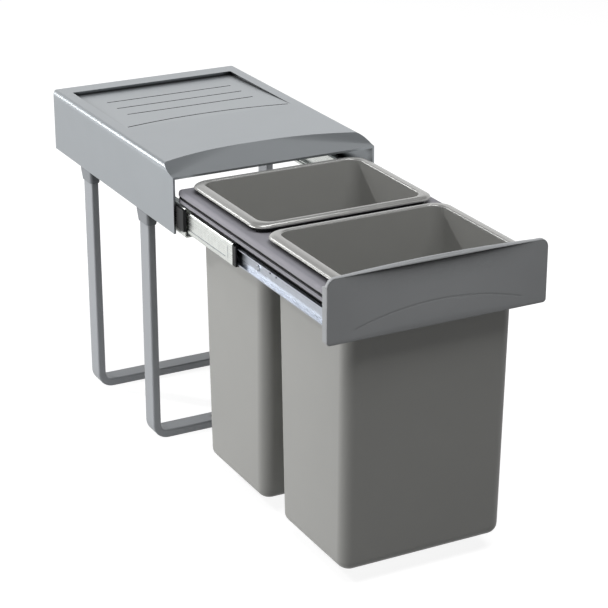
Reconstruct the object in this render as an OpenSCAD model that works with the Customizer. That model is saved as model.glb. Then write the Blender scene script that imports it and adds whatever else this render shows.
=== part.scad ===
// Pull-out bin unit for a kitchen base cabinet, shown fully open.
// Millimetres. +X right, +Y to the rear of the cabinet, +Z up. The origin lies on the cabinet floor,
// in the middle of the four floor screws. Left-hand pieces are drawn and right-hand ones are mirrored.

/* [Unit] */
// Overall width, which is the width of the cover and of the front panel
unit_w = 258; // [240:1:320]
// Overall height, from the cabinet floor to the top of the cover
unit_h = 368; // [340:1:420]

/* [Cover] */
// Wall thickness of the moulded cover
cover_t = 2.5; // [2:0.1:3.5]
// Radius of the cover's long top edges
cover_edge_r = 7; // [4:0.5:10]
// Radius of the cover's upright rear corners
cover_rear_r = 7; // [5:1:20]
// How far the visor's front edge lies below the top
visor_drop = 8.5; // [6:0.5:9]
// Depth of the visor on the centre line, front edge to crease
visor_d = 55.5; // [50:0.5:70]
// Plan radius of the visor's crease
visor_r = 313; // [280:1:400]
// Depth of the step at the rear of the sloping field in the top
field_step = 4.5; // [2:0.5:5]
// Rear edge of the cover to the step of the field
field_rear = 24; // [18:1:40]
// Length of the sloping field
field_l = 174; // [120:1:180]
// Side of the cover to the side of the field
field_side = 19; // [15:1:40]
// Number of straight grooves across the field
groove_count = 3; // [1:1:4]
// Front end of the field to the first straight groove
groove_first = 58; // [40:1:70]
// Distance between the straight grooves
groove_pitch = 32; // [20:1:36]
// Side of the field to the ends of the straight grooves
groove_margin = 26; // [15:1:40]
// Width of the grooves in the cover
groove_w = 2.4; // [1.5:0.1:4]
// Depth of the grooves in the cover
groove_depth = 1; // [0.5:0.1:1.4]
// Rise of the bowed groove at the front end of the field
bow_rise = 12; // [6:1:20]
// Edges of the field to the ends of the bowed groove
bow_margin = 3; // [2:0.5:10]
// Gap between the bin rims and the visor that they pass under
visor_gap = 4; // [3:0.5:8]

/* [Legs] */
// Distance between the centre lines of the two legs
leg_spacing = 174; // [140:1:200]
// Front edge of the cover to the centre line of the front leg
leg_setback = 94.5; // [80:0.5:110]
// Side of the cover to the outer face of a leg
leg_inset = 3; // [2.5:0.1:6]
// Wide side of the leg tube
tube_w = 25; // [20:1:30]
// Narrow side of the leg tube
tube_t = 10; // [8:0.5:12]
// Corner radius of the leg tube
tube_r = 2.2; // [1.8:0.1:3]
// Wall of the leg tube
tube_wall = 1.5; // [1:0.1:1.7]
// Outer radius of the bends in a leg
bend_r = 20; // [14:1:30]
// Diameter of the floor screw holes
floor_hole_d = 4.5; // [4:0.1:6]
// Distance between the two floor screw holes of a leg
floor_hole_spacing = 84; // [60:2:190]

/* [Leg brackets] */
// Thickness of the bracket's upright tongue
tongue_t = 3; // [2:0.1:4]
// Width of the bracket's upright tongue
tongue_w = 22; // [18:1:25]
// Height of the tongue above the skirt's lower edge
tongue_h = 56; // [45:1:56]
// Height of the tapered boot round the top of the tube
boot_h = 16; // [12:1:24]
// Thickness of the boot's lower rim
boot_wall = 1.5; // [1.2:0.1:1.8]
// How much the boot widens to the top on each side, along the unit
boot_flare = 2.5; // [0:0.5:4]
// Side of the cover to the outer face of the boot's top
boot_inset = 0.5; // [0:0.1:1]
// Thickness of the boot's closed top
boot_cap = 3; // [2:0.5:5]

/* [Slides] */
// Height of the outer rail
rail_h = 35; // [34:0.5:45]
// How far the outer rail stands out in front of the cover
rail_nose = 17.5; // [12:0.5:24]
// How far the outer rail runs on behind the closed inner rail
rail_tail = 11; // [6:1:20]
// Length of the middle rail
middle_rail_l = 296; // [280:1:320]
// Rear end of the frame to the rear end of the inner rail
inner_rail_margin = 16; // [10:1:30]
// Thickness of the rails' webs
rail_web = 1.2; // [1:0.1:1.4]
// Thickness of the outer rail's flanges
outer_flange_t = 1.5; // [1.3:0.1:1.8]
// Thickness of the middle rail's flanges
middle_flange_t = 1.6; // [1.4:0.1:1.8]
// Thickness of the inner rail's flanges
inner_flange_t = 1.3; // [1.1:0.1:1.8]
// Diameter of the balls between the outer and the middle rail
outer_ball_d = 2.8; // [2.6:0.1:3]
// Diameter of the balls between the middle and the inner rail
inner_ball_d = 2.2; // [2:0.1:2.4]
// Depth of the raceways in the flanges
race_depth = 0.3; // [0.2:0.05:0.4]
// Gap between a ball and its raceways
race_gap = 0.3; // [0.2:0.05:0.4]
// Balls in a row of an outer cage
outer_balls_per_row = 8; // [4:1:9]
// Balls in a row of an inner cage
inner_balls_per_row = 7; // [4:1:8]
// Distance between the balls in a cage
ball_pitch = 12; // [8:0.5:12.5]
// Back of the middle rail to the balls' centre line
ball_in = 3.8; // [3.6:0.1:4.2]
// Length of the black stop on the front end of the middle rail
stop_l = 8; // [6:1:16]
// Height of the black bumper on the nose of the outer rail
bumper_h = 26; // [20:1:30]
// Thickness of the bumper's pad in front of the outer rail
bumper_pad = 2; // [1:0.5:4]
// Gap between the bumpers and the closed drawer's panel
bumper_gap = 0.5; // [0.3:0.1:3]

/* [Bin frame] */
// Thickness of the frame that the bins hang in
frame_t = 13.5; // [12:0.5:16]
// Gap between the outer rail and the frame above it
frame_lift = 1.5; // [1:0.5:4]
// Gap between a leg bracket and the side of the frame
frame_gap = 1.5; // [1:0.1:3]
// Corner radius of the frame
frame_r = 4; // [2:0.5:8]
// Radius of the frame's long top edges
frame_edge_r = 5.5; // [3:0.5:6]
// Height of the collars that carry the bin rims
collar_h = 8; // [6:0.5:12]
// Thickness of the collars that carry the bin rims
collar_t = 2.5; // [2:0.1:3]
// Wall round the pockets under the bar between the bins
pocket_wall = 3; // [2:0.5:4]
// Number of pockets under the bar between the bins
pocket_count = 4; // [2:1:6]
// Height of the line groove along the frame's sides
line_h = 3.6; // [1.5:0.1:4]
// Depth of the line groove along the frame's sides
line_d = 2; // [1:0.1:3]
// Lower face of the frame to the line groove
line_up = 4.3; // [3:0.1:6]
// Thickness of the frame's down-turned flanges
flange_t = 2.8; // [2:0.1:4]
// Width of the frame's corner tabs that hold the panel
tab_w = 15; // [12:0.5:20]
// How far the open frame stays under the cover
keep_in = 4.5; // [4:0.5:12]
// Gap between the closed frame and the rear wall of the cover
rear_gap = 32; // [20:0.5:50]

/* [Bins] */
// Length of a bin's rim, front to rear
rim_l = 170; // [150:1:180]
// Gap between the rims of the two bins
rim_gap = 15; // [10:0.5:40]
// Side of the frame to the side of the bin rims
rim_inset = 11.3; // [8:0.1:16]
// Height of the bins' down-turned rim
rim_h = 5; // [4:0.5:9]
// How far the rim stands out from the tub at its sides
rim_over_x = 10; // [8:0.5:14]
// How far the rim stands out from the tub at its ends
rim_over_y = 6.5; // [6.5:0.1:10]
// Corner radius of the rims
rim_corner_r = 18; // [16:0.5:20]
// Gap on all sides when a bin is lifted past the panel and the cover
lift_gap = 1.5; // [1:0.1:4]
// Wall thickness of the bins
bin_t = 2; // [1.5:0.1:2]
// Gap between the bins and the legs' crossbars that they pass over
bin_floor_gap = 9; // [6:0.5:60]
// How much the bins narrow to the bottom on each side, across the unit
bin_taper_x = 2.2; // [1:0.1:12]
// How much the bins narrow to the bottom at each end, along the unit
bin_taper_y = 6.5; // [1:0.5:10]
// Radius of the rims' outer top edge
rim_edge_r = 3.5; // [1:0.5:3.5]
// Radius of the bins' upright corners
bin_corner_r = 15; // [14:0.5:18]
// Radius of the bins' bottom edge
bin_foot_r = 12; // [5:0.5:12]
// Gap between a bin and the frame's opening
bin_gap = 1.5; // [1:0.1:2]

/* [Front panel] */
// Height of the front panel
panel_h = 71; // [60:1:76]
// Depth of the front panel's returned edges
panel_d = 10; // [8:0.5:14]
// Thickness of the front panel's face
panel_skin = 3; // [2.5:0.1:4]
// Thickness of the front panel's returned edges
panel_wall = 2.5; // [2:0.1:3]
// Top of the cover to the top of the panel
panel_top_gap = 6; // [4:1:12]
// Radius of the front panel's upper corners
panel_r = 10; // [6:1:14]
// Radius of the front panel's lower corners
panel_low_r = 4; // [3:0.5:10]
// Depth of the front panel's top edge
panel_top_d = 4.5; // [4:0.5:6]
// Rise of the top edge on the centre line
crown_rise = 3; // [1:0.5:5]
// Length of the risen part of the top edge
crown_l = 226; // [180:1:230]
// Height of the lip that is left above the grip scoop at its ends
grip_lip = 0.5; // [0.3:0.1:2]
// Depth of the grip scoop on the centre line
scoop_d = 1.6; // [0.8:0.1:1.8]
// Height of the grip scoop on the centre line
scoop_h = 14; // [8:0.5:20]
// Length of the grip scoop
scoop_l = 224; // [180:1:230]
// Radius of the arc engraved in the panel's face
arc_r = 335; // [300:1:400]
// Length of the engraved arc, end to end
arc_l = 200; // [160:1:210]
// Crown of the engraved arc above the panel's lower edge
arc_crown = 27; // [24:1:34]
// Width of the engraved arc
arc_w = 1.4; // [1:0.1:2]
// Depth of the engraved arc
arc_depth = 0.8; // [0.4:0.1:1.2]

/* [Fasteners] */
// Diameter of the rivets and screws
screw_d = 3.8; // [3:0.1:4]
// Diameter of the screws' pan heads
head_d = 7.2; // [6:0.1:8]
// Height of the screws' pan heads
head_h = 1.8; // [1.2:0.1:2.2]
// Gap round a rivet or screw in its hole
screw_gap = 0.15; // [0.1:0.05:0.3]
// Distance between the two rivets of a leg bracket
rivet_step = 12; // [10:0.5:13]
// End of the inner rail to its first and last rivet
rivet_margin = 24; // [12:1:40]
// Diameter of the small holes in the rails
relief_d = 3.4; // [2:0.1:4]
// Front end of the inner rail to its first small hole
relief_front = 129; // [60:1:140]
// Distance between the inner rail's small holes
relief_step = 14; // [8:1:20]
// Front end of the outer rail to its small hole
nose_hole_in = 13; // [6:0.5:16]
// Lower edge of the outer rail to its small hole
nose_hole_up = 6; // [5:0.5:8]
// Slide's centre line down to the lower panel screws
panel_screw_low = 4; // [0:0.5:6]
// Distance between the upper and lower panel screws
panel_screw_step = 18; // [14:0.5:20]
// Diameter of the bosses that the panel screws drive into
boss_d = 9; // [7:0.5:10]

/* [Hidden] */
$fn = 48;

// Colours of the pieces
COVER_GREY = "#8f9599";
PANEL_GREY = "#6e7276";
FRAME_GREY = "#85878a";
BIN_GREY = "#8d8b86";
TUBE_GREY = "#8a8f94";
ZINC = "#d4d8dc";
CAGE_STEEL = "#b8bcc0";
BALL_STEEL = "#e4e6e8";
BLACK = "#1c1d1f";

// Cuts run this far past the faces that they open
past = 1;
// Sides of the round hulls, of the large arcs, and of the panel's nearly straight ones
hull_fn = 32;
arc_fn = 360;
crown_fn = 1440;
// How far the visor's front edge would run on past the sides of the cover
visor_over = 10;
// Gap between two fixed pieces that slide together once
fit_gap = 0.2;
// Gap between a panel screw's tip and the end of its hole, and skin that the hole leaves
tip_gap = 1;
// Gap between a cage and the rails beside it
cage_gap = 0.4;
// Thickness of the ball cages
cage_t = 0.6;
// Gap between a rail's end and the end that stops it
end_gap = 3;
// How far the outer rail's lips stand off the balls, and wrap down over them
lip_off = 2.4;
lip_wrap = 0.8;
// How far the inner rail's back stands clear of the outer rail's lips
inner_clear = 0.8;
// How far the middle rail's flanges reach past the balls
middle_reach = 2;
// Bend radius of the rails
slide_bend_r = 2.4;

// Places along the unit
cover_front = -leg_spacing / 2 - leg_setback;
closed_gap = rail_nose + bumper_pad + bumper_gap;
rim_front = panel_top_d + lift_gap - panel_skin - fit_gap;
rim_rear = keep_in + lift_gap;
frame_l = rim_front + 2 * rim_l + rim_gap + rim_rear;
frame_rear = cover_front + keep_in;
frame_front = frame_rear - frame_l;
panel_front = frame_front - fit_gap - panel_skin;
panel_rear = panel_front + panel_d;
travel = cover_front - closed_gap - panel_rear;
cover_rear = frame_rear + travel + rear_gap + cover_t;
inner_front = panel_rear + fit_gap;
inner_rear = frame_rear - inner_rail_margin;
outer_front = cover_front - rail_nose;
outer_rear = inner_rear + travel + rail_tail;
middle_front = outer_rear - end_gap - middle_rail_l - travel / 2;
middle_rear = middle_front + middle_rail_l;
outer_cage_mid = (outer_front + middle_rear) / 2;
inner_cage_mid = (middle_front + inner_rear) / 2;

// Places across the unit, measured from the centre plane
half_w = unit_w / 2;
tongue_x = half_w - cover_t - fit_gap;
rail_x = tongue_x - tongue_t;
frame_half = rail_x - frame_gap;
rim_half = frame_half - rim_inset;
tub_half = rim_half - rim_over_x;
tub_half_l = rim_l / 2 - rim_over_y;
opening_half = tub_half + bin_gap;
opening_half_l = tub_half_l + bin_gap;
opening_r = bin_corner_r + bin_gap;
tube_x = half_w - leg_inset - tube_t / 2;

// Heights
rim_up = rail_h + frame_lift + frame_t + collar_h + bin_t;
skirt_h = rim_up + visor_gap + cover_t + visor_drop;
skirt_z = unit_h - skirt_h;
slide_z = skirt_z + rail_h / 2;
frame_z = skirt_z + rail_h + frame_lift;
frame_top = frame_z + frame_t;
rim_top = skirt_z + rim_up;
bin_z = tube_t + bin_floor_gap;
leg_top = skirt_z - boot_cap;
tongue_top = skirt_z + tongue_h;
panel_top = unit_h - panel_top_gap;
panel_z = panel_top - panel_h;
scoop_top = panel_top - grip_lip;

// Slide section: u runs inwards from the outer rail's back, v up and down from the slide's centre line
outer_in_v = rail_h / 2 - outer_flange_t;
outer_ball_v = outer_in_v + race_depth - race_gap - outer_ball_d / 2;
middle_v = outer_ball_v - outer_ball_d / 2 - race_gap + race_depth;
middle_in_v = middle_v - middle_flange_t;
inner_ball_v = middle_in_v + race_depth - race_gap - inner_ball_d / 2;
inner_v = inner_ball_v - inner_ball_d / 2 - race_gap + race_depth;
inner_in_v = inner_v - inner_flange_t;
outer_cage_u = rail_web + cage_gap;
middle_u = outer_cage_u + cage_t + cage_gap;
inner_cage_u = middle_u + rail_web + cage_gap;
inner_lip_u = inner_cage_u + cage_t + cage_gap;
ball_u = middle_u + ball_in;
outer_lip_u = ball_u + lip_off;
outer_depth = outer_lip_u + rail_web;
inner_back_u = outer_depth + inner_clear;
middle_end_u = ball_u + middle_reach;
lip_v = outer_ball_v - lip_wrap;
flange_x = rail_x - inner_back_u;

// Places of the fasteners
inner_rivet_ys = [inner_front + rivet_margin, (inner_front + inner_rear) / 2, inner_rear - rivet_margin];
panel_screw_x = flange_x - tab_w / 2;
panel_screw_zs = [slide_z - panel_screw_low, slide_z - panel_screw_low + panel_screw_step];
pilot_d = screw_d + 2 * screw_gap;
boss_l = panel_d - panel_skin;
pilot_l = boss_l - tip_gap;

// Draws its children on the left and again, mirrored, on the right
module both_sides() {
    children();
    mirror([1, 0, 0]) children();
}

// Extrudes a section drawn in X and Z from y0 to y1
module along_y(y0, y1) {
    translate([0, y1, 0]) rotate([90, 0, 0]) linear_extrude(y1 - y0) children();
}

// Places a slide section, drawn in u and v, on the left side from y0 to y1
module on_slide(y0, y1) {
    translate([-rail_x, 0, slide_z]) along_y(y0, y1) children();
}

// Flat rectangle with round corners, centred
module round_rect(w, d, r) {
    square([w - 2 * r, d], center = true);
    square([w, d - 2 * r], center = true);
    for (x = [-1, 1], y = [-1, 1])
        translate([x * (w / 2 - r), y * (d / 2 - r)]) circle(r);
}

// Solid of revolution along +X from a list of radius and length points
module turned_x(points) {
    rotate([0, 90, 0]) rotate_extrude() polygon(points);
}

// Cover: a moulded shell open at the front and below, with a visor and a sloping field in its top

// Section of the cover's outside, drawn in by inset
module cover_section(inset) {
    w = half_w - inset;
    r = cover_edge_r - inset;
    top = unit_h - inset;
    low = inset > 0 ? skirt_z - past : skirt_z;
    translate([-w, low]) square([2 * w, top - r - low]);
    translate([-w + r, top - r - past]) square([2 * (w - r), r + past]);
    for (x = [-1, 1]) translate([x * (w - r), top - r]) circle(r);
}

// Plan of the cover, drawn in by inset, with round rear corners
module cover_plan(inset) {
    w = half_w - inset;
    r = cover_rear_r - inset;
    rear = cover_rear - inset;
    front = inset > 0 ? cover_front - past : cover_front;
    translate([-w, front]) square([2 * w, rear - r - front]);
    translate([-w + r, front]) square([2 * (w - r), rear - front]);
    for (x = [-1, 1]) translate([x * (w - r), rear - r]) circle(r);
}

// Space above the visor, lowered by drop: a scoop from a straight front edge to an arc in the top
module visor_cut(drop) {
    rise = 1;
    reach = visor_d * (visor_drop + rise) / visor_drop;
    hull() {
        translate([0, 0, unit_h + rise - drop]) linear_extrude(past + drop) intersection() {
            translate([0, cover_front + reach - visor_r]) circle(visor_r, $fn = arc_fn / 3);
            translate([-unit_w, cover_front - past]) square([2 * unit_w, reach + 2 * past]);
        }
        translate([-half_w - visor_over, cover_front - past, unit_h - visor_drop - drop])
            cube([unit_w + 2 * visor_over, past, past]);
    }
}

// Space above the sloping field, lowered and widened by grow
module field_cut(grow) {
    w = half_w - field_side + grow;
    slope = atan(field_step / field_l);
    translate([-w, cover_rear - field_rear - field_l, unit_h - grow]) rotate([-slope, 0, 0])
        cube([2 * w, norm([field_l, field_step]) + grow, field_step + grow + past]);
}

// Outside or, with an inset, inside of the cover as a full form
module cover_form(inset) {
    difference() {
        intersection() {
            along_y(cover_front - past, cover_rear + past) cover_section(inset);
            translate([0, 0, skirt_z - past]) linear_extrude(skirt_h + 2 * past) cover_plan(inset);
        }
        visor_cut(inset);
        field_cut(inset);
    }
}

// Straight grooves across the field and the bowed groove at its front end
module cover_grooves() {
    field_front = cover_rear - field_rear - field_l;
    bow_half = half_w - field_side - bow_margin;
    groove_half = half_w - field_side - groove_margin;
    bow_r = (bow_half * bow_half + bow_rise * bow_rise) / (2 * bow_rise);
    for (i = [0 : groove_count - 1]) {
        y = groove_first + i * groove_pitch;
        floor_z = unit_h - field_step * y / field_l - groove_depth;
        translate([0, field_front + y, floor_z]) linear_extrude(field_step + past) {
            square([2 * groove_half, groove_w], center = true);
            for (x = [-1, 1]) translate([x * groove_half, 0]) circle(d = groove_w);
        }
    }
    translate([0, field_front + bow_margin + groove_w + bow_rise - bow_r, unit_h - groove_depth])
        linear_extrude(groove_depth + past) intersection() {
            difference() {
                circle(bow_r, $fn = arc_fn);
                circle(bow_r - groove_w, $fn = arc_fn);
            }
            translate([-bow_half, 0]) square([2 * bow_half, 2 * bow_r]);
        }
}

module cover() color(COVER_GREY) {
    difference() {
        cover_form(0);
        cover_form(cover_t);
        cover_grooves();
    }
    both_sides() for (y = [-1, 1])
        translate([-half_w + cover_t - fit_gap, y * leg_spacing / 2 - tongue_w / 2, tongue_top])
            cube([tongue_t + fit_gap, tongue_w, cover_t]);
}

// Legs: two tubes bent into a U, screwed to the cabinet floor

module tube_section() {
    difference() {
        round_rect(tube_t, tube_w, tube_r);
        round_rect(tube_t - 2 * tube_wall, tube_w - 2 * tube_wall, tube_r - tube_wall);
    }
}

module leg_tube() {
    both_sides() {
        translate([-tube_x, 0, bend_r]) linear_extrude(leg_top - bend_r) tube_section();
        translate([-tube_x + bend_r - tube_t / 2, 0, bend_r]) rotate([90, 0, 0]) rotate([0, 0, 180])
            rotate_extrude(angle = 90) translate([bend_r - tube_t / 2, 0]) tube_section();
        translate([-tube_x + bend_r - tube_t / 2, 0, tube_t / 2]) rotate([0, 90, 0])
            linear_extrude(tube_x - bend_r + tube_t / 2) tube_section();
    }
}

module leg(y) color(TUBE_GREY) translate([0, y, 0]) difference() {
    leg_tube();
    for (x = [-1, 1]) translate([x * floor_hole_spacing / 2, 0, -past])
        cylinder(d = floor_hole_d, h = tube_t + 2 * past);
}

module front_leg() leg(-leg_spacing / 2);
module rear_leg() leg(leg_spacing / 2);

// Leg brackets: a tapered boot over the tube's end with a tongue between skirt and outer rail

// Row of rivet places on the tongue of the leg at y
module at_bracket_rivets(y) {
    for (s = [-1, 1]) translate([-tongue_x, y + s * rivet_step / 2, slide_z]) children();
}

// Rivet through tongue and rail web, countersunk at both ends, grown by gap for its hole
module bracket_rivet(gap) {
    r = screw_d / 2 + gap;
    grip = tongue_t + rail_web;
    turned_x([[0, 0], [r + rail_web, 0], [r, rail_web], [r, grip - rail_web], [r + rail_web, grip],
        [0, grip]]);
}

module left_bracket(y) color(COVER_GREY) difference() {
    union() {
        translate([-tube_x, y, 0]) hull() {
            translate([0, 0, skirt_z - boot_h]) linear_extrude(boot_wall)
                round_rect(tube_t + 2 * boot_wall, tube_w + 2 * boot_wall, tube_r + boot_wall,
                    $fn = hull_fn);
            translate([0, 0, skirt_z - boot_cap]) linear_extrude(boot_cap)
                round_rect(tube_t + 2 * (leg_inset - boot_inset), tube_w + 2 * (boot_wall + boot_flare),
                    tube_r + boot_wall, $fn = hull_fn);
        }
        translate([-tongue_x, y - tongue_w / 2, skirt_z - boot_cap])
            cube([tongue_t, tongue_w, tongue_h + boot_cap]);
    }
    translate([-tube_x, y, skirt_z - boot_h - past]) linear_extrude(boot_h - boot_cap + past)
        round_rect(tube_t + 2 * fit_gap, tube_w + 2 * fit_gap, tube_r + fit_gap);
    at_bracket_rivets(y) bracket_rivet(screw_gap);
}

module front_left_bracket() left_bracket(-leg_spacing / 2);
module front_right_bracket() mirror([1, 0, 0]) front_left_bracket();
module rear_left_bracket() left_bracket(leg_spacing / 2);
module rear_right_bracket() mirror([1, 0, 0]) rear_left_bracket();

module bracket_rivets() color(ZINC) both_sides()
    for (y = [-1, 1]) at_bracket_rivets(y * leg_spacing / 2) bracket_rivet(0);

// Slides: three nested rails on each side, with balls in cages between them

// Raceway along a flange, as a circle round the balls' centre line
module race(v, ball_d) {
    for (s = [-1, 1]) translate([ball_u, s * v]) circle(ball_d / 2 + race_gap);
}

// Channel with its back at u0, of half height v, with bent corners
module channel(u0, u1, v, web, flange, r) {
    difference() {
        union() {
            translate([u0 + r, -v]) square([u1 - u0 - r, 2 * v]);
            translate([u0, -v + r]) square([r, 2 * (v - r)]);
            for (s = [-1, 1]) translate([u0 + r, s * (v - r)]) circle(r);
        }
        translate([u0 + web, -v + flange]) square([u1 - u0, 2 * (v - flange)]);
    }
}

module outer_section() {
    difference() {
        translate([outer_depth / 2, 0]) round_rect(outer_depth, rail_h, slide_bend_r);
        translate([(rail_web + outer_lip_u) / 2, 0])
            round_rect(outer_lip_u - rail_web, 2 * outer_in_v, slide_bend_r - rail_web);
        translate([ball_u, -lip_v]) square([outer_depth, 2 * lip_v]);
        race(outer_ball_v, outer_ball_d);
    }
}

module middle_section() {
    difference() {
        channel(middle_u, middle_end_u, middle_v, rail_web, middle_flange_t, slide_bend_r);
        race(outer_ball_v, outer_ball_d);
        race(inner_ball_v, inner_ball_d);
    }
}

module inner_section() {
    difference() {
        mirror([1, 0]) channel(-inner_back_u, -inner_lip_u, inner_v, rail_web, inner_flange_t, slide_bend_r);
        race(inner_ball_v, inner_ball_d);
    }
}

module left_outer_rail() color(ZINC) difference() {
    on_slide(outer_front, outer_rear) outer_section();
    for (y = [-1, 1]) at_bracket_rivets(y * leg_spacing / 2) bracket_rivet(screw_gap);
    translate([-rail_x - past, outer_front + nose_hole_in, skirt_z + nose_hole_up]) rotate([0, 90, 0])
        cylinder(d = relief_d, h = rail_web + 2 * past);
}
module right_outer_rail() mirror([1, 0, 0]) left_outer_rail();

module left_middle_rail() color(ZINC) on_slide(middle_front, middle_rear) middle_section();
module right_middle_rail() mirror([1, 0, 0]) left_middle_rail();

// Row of rivet places on the inner rail's web, at the face towards the cabinet's side
module at_inner_rivets() {
    for (y = inner_rivet_ys) translate([-flange_x - rail_web, y, slide_z]) children();
}

// Hole for a rivet through the inner rail and the frame's flange
module rivet_hole() {
    translate([-past, 0, 0]) rotate([0, 90, 0]) cylinder(d = pilot_d, h = rail_web + flange_t + 2 * past);
}

module left_inner_rail() color(ZINC) difference() {
    on_slide(inner_front, inner_rear) inner_section();
    at_inner_rivets() rivet_hole();
    for (i = [0, 1])
        translate([-flange_x - rail_web - past, inner_front + relief_front + i * relief_step,
            slide_z + inner_in_v / 2]) rotate([0, 90, 0])
            cylinder(d = relief_d, h = rail_web + 2 * past);
}
module right_inner_rail() mirror([1, 0, 0]) left_inner_rail();

// Rivet with a pan head in the inner rail and a flat head behind the frame's flange
module inner_rivet() {
    r = screw_d / 2;
    grip = rail_web + flange_t;
    turned_x([[0, -head_h], [head_d / 3, -head_h], [head_d / 2, -head_h / 3], [head_d / 2, 0], [r, 0],
        [r, grip], [head_d / 2, grip], [head_d / 2, grip + head_h / 2], [0, grip + head_h / 2]]);
}
module inner_rail_rivets() color(ZINC) both_sides() at_inner_rivets() inner_rivet();

// Ball cage: a channel with holes for two rows of balls, centred on mid
module cage(u0, u1, v, ball_d, count, mid) {
    l = count * ball_pitch;
    difference() {
        on_slide(mid - l / 2, mid + l / 2) {
            translate([u0, -v - cage_t / 2]) square([cage_t, 2 * v + cage_t]);
            for (s = [-1, 1]) translate([u0, s * v - cage_t / 2]) square([u1 - u0, cage_t]);
        }
        at_balls(v, count, mid) cylinder(d = ball_d + 2 * race_gap, h = 4 * cage_t, center = true);
    }
}

// Places of the balls of a cage, in a row above and a row below
module at_balls(v, count, mid) {
    for (i = [0 : count - 1], s = [-1, 1])
        translate([-rail_x + ball_u, mid + (i - (count - 1) / 2) * ball_pitch, slide_z + s * v]) children();
}

module left_outer_cage() color(CAGE_STEEL)
    cage(outer_cage_u, outer_lip_u - cage_gap, outer_ball_v, outer_ball_d, outer_balls_per_row,
        outer_cage_mid);
module right_outer_cage() mirror([1, 0, 0]) left_outer_cage();
module left_inner_cage() color(CAGE_STEEL)
    cage(inner_cage_u, middle_end_u - cage_gap, inner_ball_v, inner_ball_d, inner_balls_per_row,
        inner_cage_mid);
module right_inner_cage() mirror([1, 0, 0]) left_inner_cage();

module left_outer_balls() color(BALL_STEEL)
    at_balls(outer_ball_v, outer_balls_per_row, outer_cage_mid) sphere(d = outer_ball_d, $fn = 24);
module right_outer_balls() mirror([1, 0, 0]) left_outer_balls();
module left_inner_balls() color(BALL_STEEL)
    at_balls(inner_ball_v, inner_balls_per_row, inner_cage_mid) sphere(d = inner_ball_d, $fn = 24);
module right_inner_balls() mirror([1, 0, 0]) left_inner_balls();

// Bumper: a black cap on the outside of the outer rail's nose, with a pad over the end of its web
module left_bumper() color(BLACK) {
    low_z = skirt_z + rail_h - rail_web - bumper_h;
    translate([-tongue_x, outer_front - bumper_pad, low_z])
        cube([tongue_t, rail_nose + bumper_pad - fit_gap, bumper_h]);
    translate([-rail_x, outer_front - bumper_pad, low_z]) cube([rail_web, bumper_pad, bumper_h]);
}
module right_bumper() mirror([1, 0, 0]) left_bumper();

// Middle stop: a black plug on the front end of the middle rail, slotted for the inner rail
module left_middle_stop() color(BLACK) {
    slot_v = inner_v + cage_gap;
    on_slide(middle_front - stop_l, middle_front) difference() {
        translate([middle_u, -middle_in_v]) square([middle_end_u - middle_u, 2 * middle_in_v]);
        translate([inner_cage_u, -slot_v]) square([middle_end_u, 2 * slot_v]);
    }
}
module right_middle_stop() mirror([1, 0, 0]) left_middle_stop();

// Bin frame: one moulding with two openings, hung between the inner rails

// Centre of a bin along the unit, for bin 0 at the front and bin 1 at the rear
function bin_y(i) = frame_front + rim_front + rim_l / 2 + i * (rim_l + rim_gap);

// Plan of a frame opening, grown by grow
module opening_plan(grow) {
    round_rect(2 * (opening_half + grow), 2 * (opening_half_l + grow), opening_r + grow);
}

// Section of the frame's slab, with round long top edges
module frame_section() {
    flat = frame_half - frame_edge_r;
    translate([-frame_half, frame_z]) square([2 * frame_half, frame_t - frame_edge_r]);
    translate([-flat, frame_z]) square([2 * flat, frame_t]);
    for (x = [-1, 1]) translate([x * flat, frame_top - frame_edge_r]) circle(frame_edge_r);
}

module bin_frame() color(FRAME_GREY) difference() {
    union() {
        intersection() {
            along_y(frame_front - past, frame_rear + past) frame_section();
            translate([0, (frame_front + frame_rear) / 2, frame_z - past]) linear_extrude(frame_t + 2 * past)
                round_rect(2 * frame_half, frame_l, frame_r);
        }
        for (i = [0, 1]) translate([0, bin_y(i), frame_top - past]) linear_extrude(collar_h + past)
            opening_plan(collar_t);
        both_sides() {
            translate([-flange_x, inner_front, slide_z - inner_v])
                cube([flange_t, inner_rear - inner_front, frame_z - slide_z + inner_v + past]);
            translate([-flange_x, panel_rear, panel_screw_zs[0] - boss_d])
                cube([tab_w, flange_t, frame_z - panel_screw_zs[0] + boss_d + past]);
        }
    }
    for (i = [0, 1]) translate([0, bin_y(i), frame_z - past]) linear_extrude(frame_t + collar_h + 2 * past)
        opening_plan(0);
    both_sides() {
        translate([-frame_half - past, frame_front - past, frame_z + line_up])
            cube([line_d + past, frame_l + 2 * past, line_h]);
        at_inner_rivets() rivet_hole();
    }
    cross_pockets();
    at_panel_screws() translate([0, -past, 0]) rotate([-90, 0, 0])
        cylinder(d = pilot_d, h = flange_t + 2 * past);
}

// Pockets that hollow the underside of the bar between the two openings
module cross_pockets() {
    bar = rim_l + rim_gap - 2 * opening_half_l;
    cell = (2 * opening_half - bar) / pocket_count;
    mid = (bin_y(0) + bin_y(1)) / 2;
    for (i = [0 : pocket_count - 1])
        translate([(i - (pocket_count - 1) / 2) * cell, mid, frame_z - past])
            linear_extrude(frame_t - pocket_wall + past)
            square([cell - pocket_wall, bar - 2 * pocket_wall], center = true);
}

// Places of the screws that hold the front panel, on the rear ends of its bosses
module at_panel_screws() {
    for (x = [-1, 1], z = panel_screw_zs) translate([x * panel_screw_x, panel_rear, z]) children();
}

// Front panel: a hollow-backed moulding with a grip scoop under its risen top edge and an engraved arc

// Disc whose edge rises by rise over the chord of length l at y = 0, drawn in by inset
module crown(l, rise, inset) {
    r = (l * l / 4 + rise * rise) / (2 * rise);
    translate([0, rise - r]) circle(r - inset, $fn = crown_fn);
}

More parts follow.
